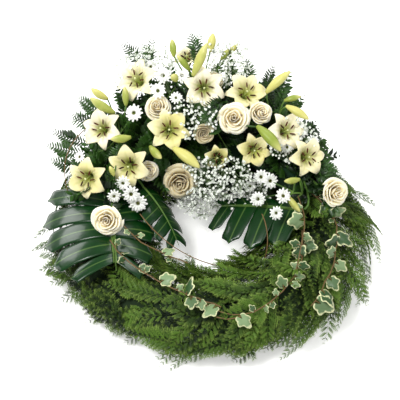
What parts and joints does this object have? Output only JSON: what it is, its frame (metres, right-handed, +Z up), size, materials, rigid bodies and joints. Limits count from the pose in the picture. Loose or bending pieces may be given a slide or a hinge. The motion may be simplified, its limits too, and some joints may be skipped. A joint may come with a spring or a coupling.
{
  "type": "funeral wreath",
  "caption": "Round funeral wreath lying flat: a cedar-bound ring round an open middle, a mound of lilies, roses, buds and daisies on its far half, split leaves and ivy over its near half.",
  "frame": {"origin": "on the ground under the middle of the wreath's box", "axes": "+Z up from the surface it lies on; -Y towards the mourner, the cedar's side; +Y towards the mound of flowers; +X to the mourner's right"},
  "size_m": [0.7949, 0.8242, 0.4366],
  "materials": {
    "wrapped_straw": "matt bound straw under green wrap",
    "wet_foam": "matt open foam",
    "cedar": "waxy scale leaves",
    "monstera": "glossy leaf",
    "lily": "satin petal",
    "rose": "velvety petal",
    "lily_bud": "satin bud",
    "daisy": "matt petal",
    "gypsophila": "matt floret",
    "leafy_twig": "satin leaf",
    "ivy": "satin leaf with pale edges"
  },
  "bodies": {
    "root": {"straw_ring": "wrapped_straw", "foam_brick_left": "wet_foam", "foam_brick_middle": "wet_foam", "foam_brick_right": "wet_foam", "cedar_bunch_01": "cedar", "cedar_bunch_02": "cedar", "cedar_bunch_03": "cedar", "cedar_bunch_04": "cedar", "cedar_bunch_05": "cedar", "cedar_bunch_06": "cedar", "cedar_bunch_07": "cedar", "cedar_bunch_08": "cedar", "cedar_outer_left": "cedar", "cedar_outer_right": "cedar", "cedar_inner": "cedar", "monstera_left": "monstera", "monstera_hole_left": "monstera", "monstera_hole_right": "monstera", "ivy_left": "ivy", "ivy_middle": "ivy", "ivy_right": "ivy", "lily_01": "lily", "lily_02": "lily", "lily_03": "lily", "lily_04": "lily", "lily_05": "lily", "lily_06": "lily", "lily_07": "lily", "lily_08": "lily", "lily_09": "lily", "lily_10": "lily", "lily_11": "lily", "lily_12": "lily", "rose_01": "rose", "rose_02": "rose", "rose_03": "rose", "rose_04": "rose", "rose_05": "rose", "rose_06": "rose", "rose_07": "rose", "rose_08": "rose", "rose_09": "rose", "bud_stem_top": "lily_bud", "bud_stem_left": "lily_bud", "bud_stem_right": "lily_bud", "bud_stem_low_right": "lily_bud", "bud_stem_middle": "lily_bud", "daisy_spray_top": "daisy", "daisy_spray_left": "daisy", "daisy_spray_low_left": "daisy", "daisy_spray_low_right": "daisy", "gypsophila_middle": "gypsophila", "gypsophila_low": "gypsophila", "gypsophila_top": "gypsophila", "gypsophila_top_left": "gypsophila", "greens_left": "leafy_twig", "greens_middle": "leafy_twig", "greens_right": "leafy_twig"}
  },
  "joints": []
}
